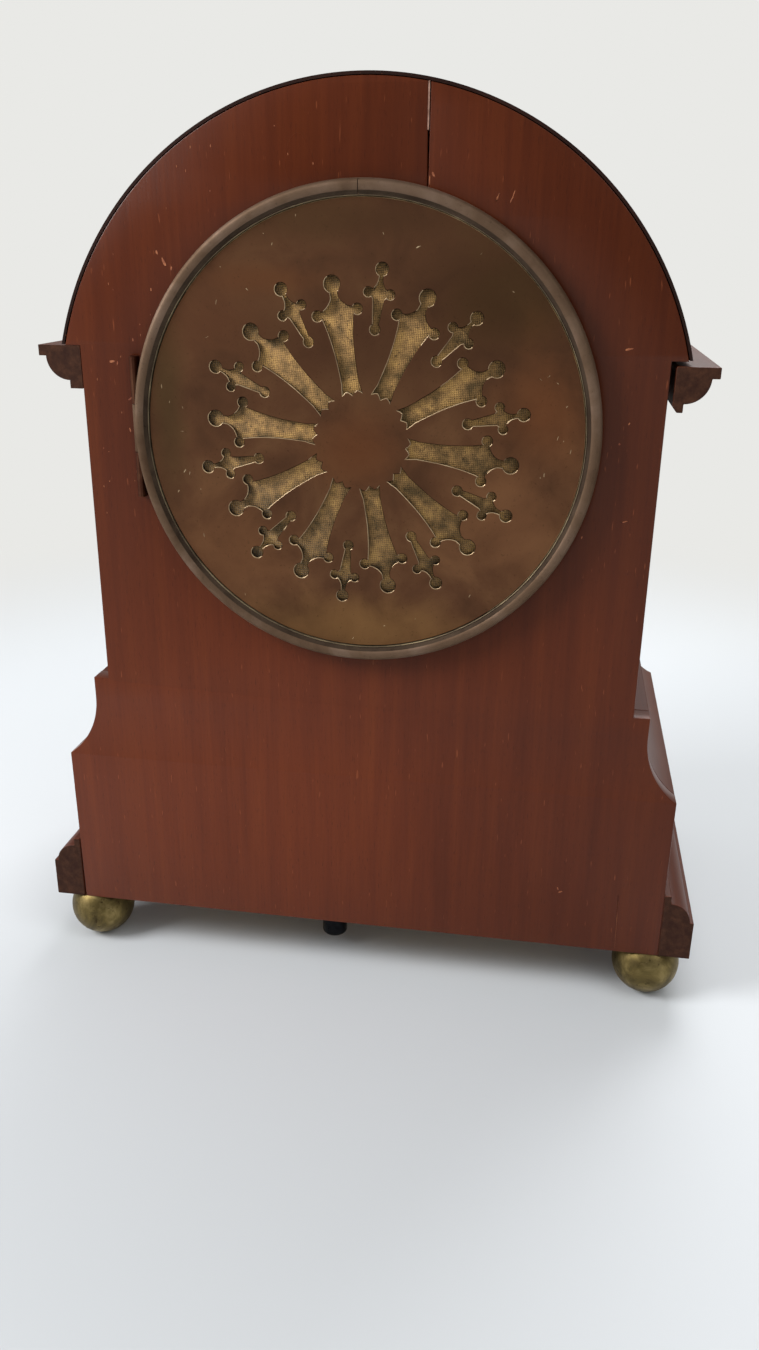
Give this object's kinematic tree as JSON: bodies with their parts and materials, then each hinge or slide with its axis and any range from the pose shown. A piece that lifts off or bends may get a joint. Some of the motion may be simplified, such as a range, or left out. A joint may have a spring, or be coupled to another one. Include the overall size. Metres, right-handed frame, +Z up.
{
  "type": "bracket clock",
  "caption": "Round-topped mahogany shelf clock with ball feet, a pierced brass back door over cloth, a glazed dial and a striking pendulum movement with a coiled gong.",
  "frame": {"origin": "centre of the bounding box in plan, on the surface that the ball feet stand on", "axes": "+Z up, +Y towards the back of the clock, where the pierced door is; the dial faces -Y, and +X is to the right as seen from the front"},
  "size_m": [0.216, 0.1288, 0.272],
  "materials": {
    "mahogany": "worn French polish",
    "mahogany_moulding": "French polish",
    "ebonised_edge": "dark polish",
    "pine": "planed, unfinished",
    "patinated_brass": "brown patina",
    "bead_brass": "rubbed patina",
    "foot_brass": "tarnished",
    "bright_brass": "polished",
    "steel": "polished",
    "blued_steel": "blued",
    "black_iron": "blackened",
    "cloth": "woven",
    "enamel": "vitreous enamel, gloss",
    "glass": "clear"
  },
  "bodies": {
    "case": {"back_board": "mahogany", "front_board": "mahogany", "side_left": "mahogany", "side_right": "mahogany", "arch_lining": "pine", "arch_veneer": "ebonised_edge", "floor_board": "pine", "plinth_left": "mahogany_moulding", "plinth_right": "mahogany_moulding", "plinth_front": "mahogany_moulding", "base_moulding_left": "mahogany_moulding", "base_moulding_right": "mahogany_moulding", "base_moulding_front": "mahogany_moulding", "impost_left": "mahogany_moulding", "impost_right": "mahogany_moulding", "foot_back_left": "foot_brass", "foot_back_right": "foot_brass", "foot_front_left": "foot_brass", "foot_front_right": "foot_brass", "back_ring": "patinated_brass", "door_hinge_leaf": "patinated_brass", "door_hinge_pin": "steel", "bezel_frame": "bright_brass", "bezel_hinge_pin": "steel", "dial": "enamel", "front_plate": "bright_brass", "back_plate": "bright_brass", "strap_left": "steel", "strap_right": "steel", "back_cock": "bright_brass", "gong": "steel", "gong_stand": "black_iron", "gong_nut": "black_iron"},
    "back_door": {"door_ring": "bead_brass", "fret_plate": "patinated_brass", "sound_cloth": "cloth"},
    "glass_door": {"glass_bezel": "bright_brass", "dial_glass": "glass"},
    "centre": {"centre_wheel": "bright_brass", "cannon_pinion": "steel", "minute_hand": "blued_steel", "hand_nut": "bright_brass"},
    "hour": {"hour_wheel": "bright_brass", "hour_hand": "blued_steel"},
    "minute_work": {"minute_wheel": "bright_brass"},
    "second": {"second_wheel": "bright_brass"},
    "going_drum": {"going_barrel": "bright_brass"},
    "going_winder": {"going_arbor": "steel"},
    "third": {"third_wheel": "bright_brass"},
    "escape": {"escape_wheel": "bright_brass"},
    "anchor": {"pallets": "steel"},
    "pendulum": {"suspension_spring": "steel", "pendulum_rod": "steel", "pendulum_bob": "bright_brass"},
    "strike_drum": {"strike_barrel": "bright_brass"},
    "strike_winder": {"strike_arbor": "steel"},
    "strike_second": {"strike_wheel": "bright_brass", "count_wheel": "bright_brass"},
    "pins": {"pin_wheel": "bright_brass"},
    "hammer": {"hammer": "steel"}
  },
  "joints": [
    {"name": "back_door_hinge", "type": "hinge", "parent": "case", "child": "back_door", "pos_m": [0.066, 0.061, 0.1812], "axis": [0, 0, -1], "range_deg": [0, 95]},
    {"name": "glass_door_hinge", "type": "hinge", "parent": "case", "child": "glass_door", "pos_m": [0.0626, -0.0408, 0.1812], "axis": [0, 0, 1], "range_deg": [0, 100]},
    {"name": "centre_arbor", "type": "hinge", "parent": "case", "child": "centre", "pos_m": [0, -0.0129, 0.1812], "axis": [0, 1, 0], "continuous": true},
    {"name": "minute_wheel_turn", "type": "hinge", "parent": "case", "child": "minute_work", "pos_m": [0.006, -0.0129, 0.19159], "axis": [0, 1, 0], "continuous": true},
    {"name": "hour_wheel_turn", "type": "hinge", "parent": "case", "child": "hour", "pos_m": [0, -0.0129, 0.1812], "axis": [0, 1, 0], "continuous": true},
    {"name": "third_arbor", "type": "hinge", "parent": "case", "child": "third", "pos_m": [-0.00903, -0.0129, 0.19195], "axis": [0, 1, 0], "continuous": true},
    {"name": "escape_arbor", "type": "hinge", "parent": "case", "child": "escape", "pos_m": [0, -0.0129, 0.20075], "axis": [0, 1, 0], "continuous": true},
    {"name": "second_arbor", "type": "hinge", "parent": "case", "child": "second", "pos_m": [0.01084, -0.0129, 0.19157], "axis": [0, 1, 0], "continuous": true},
    {"name": "going_barrel_turn", "type": "hinge", "parent": "case", "child": "going_drum", "pos_m": [0.0204, -0.0129, 0.1722], "axis": [0, 1, 0], "continuous": true},
    {"name": "going_winding", "type": "hinge", "parent": "case", "child": "going_winder", "pos_m": [0.0204, -0.0129, 0.1722], "axis": [0, 1, 0], "continuous": true},
    {"name": "pendulum_swing", "type": "hinge", "parent": "case", "child": "pendulum", "pos_m": [0, 0.0161, 0.21125], "axis": [0, 1, 0], "range_deg": [-4, 4]},
    {"name": "anchor_rock", "type": "hinge", "parent": "case", "child": "anchor", "pos_m": [0, -0.0129, 0.21125], "axis": [0, 1, 0], "range_deg": [-4.05, 4.05]},
    {"name": "strike_barrel_turn", "type": "hinge", "parent": "case", "child": "strike_drum", "pos_m": [-0.0204, -0.0129, 0.1722], "axis": [0, 1, 0], "continuous": true},
    {"name": "strike_winding", "type": "hinge", "parent": "case", "child": "strike_winder", "pos_m": [-0.0204, -0.0129, 0.1722], "axis": [0, 1, 0], "continuous": true},
    {"name": "strike_second_arbor", "type": "hinge", "parent": "case", "child": "strike_second", "pos_m": [-0.02599, -0.0129, 0.19306], "axis": [0, 1, 0], "continuous": true},
    {"name": "pin_wheel_arbor", "type": "hinge", "parent": "case", "child": "pins", "pos_m": [-0.0179, -0.0129, 0.20461], "axis": [0, 1, 0], "continuous": true},
    {"name": "hammer_swing", "type": "hinge", "parent": "case", "child": "hammer", "pos_m": [-0.027, -0.0129, 0.2127], "axis": [0, 1, 0], "range_deg": [0, 10], "stiffness_Nm_per_rad": 0.01, "springref_deg": -5.73}
  ],
  "couplings": [
    {"joint": "minute_wheel_turn", "follows": "centre_arbor", "ratio": -0.33333},
    {"joint": "hour_wheel_turn", "follows": "centre_arbor", "ratio": 0.083333},
    {"joint": "third_arbor", "follows": "centre_arbor", "ratio": -12},
    {"joint": "escape_arbor", "follows": "centre_arbor", "ratio": 156},
    {"joint": "second_arbor", "follows": "centre_arbor", "ratio": -0.2},
    {"joint": "going_barrel_turn", "follows": "centre_arbor", "ratio": 0.028571},
    {"joint": "anchor_rock", "follows": "pendulum_swing", "ratio": 1},
    {"joint": "strike_second_arbor", "follows": "strike_barrel_turn", "ratio": -7},
    {"joint": "pin_wheel_arbor", "follows": "strike_barrel_turn", "ratio": 63}
  ]
}
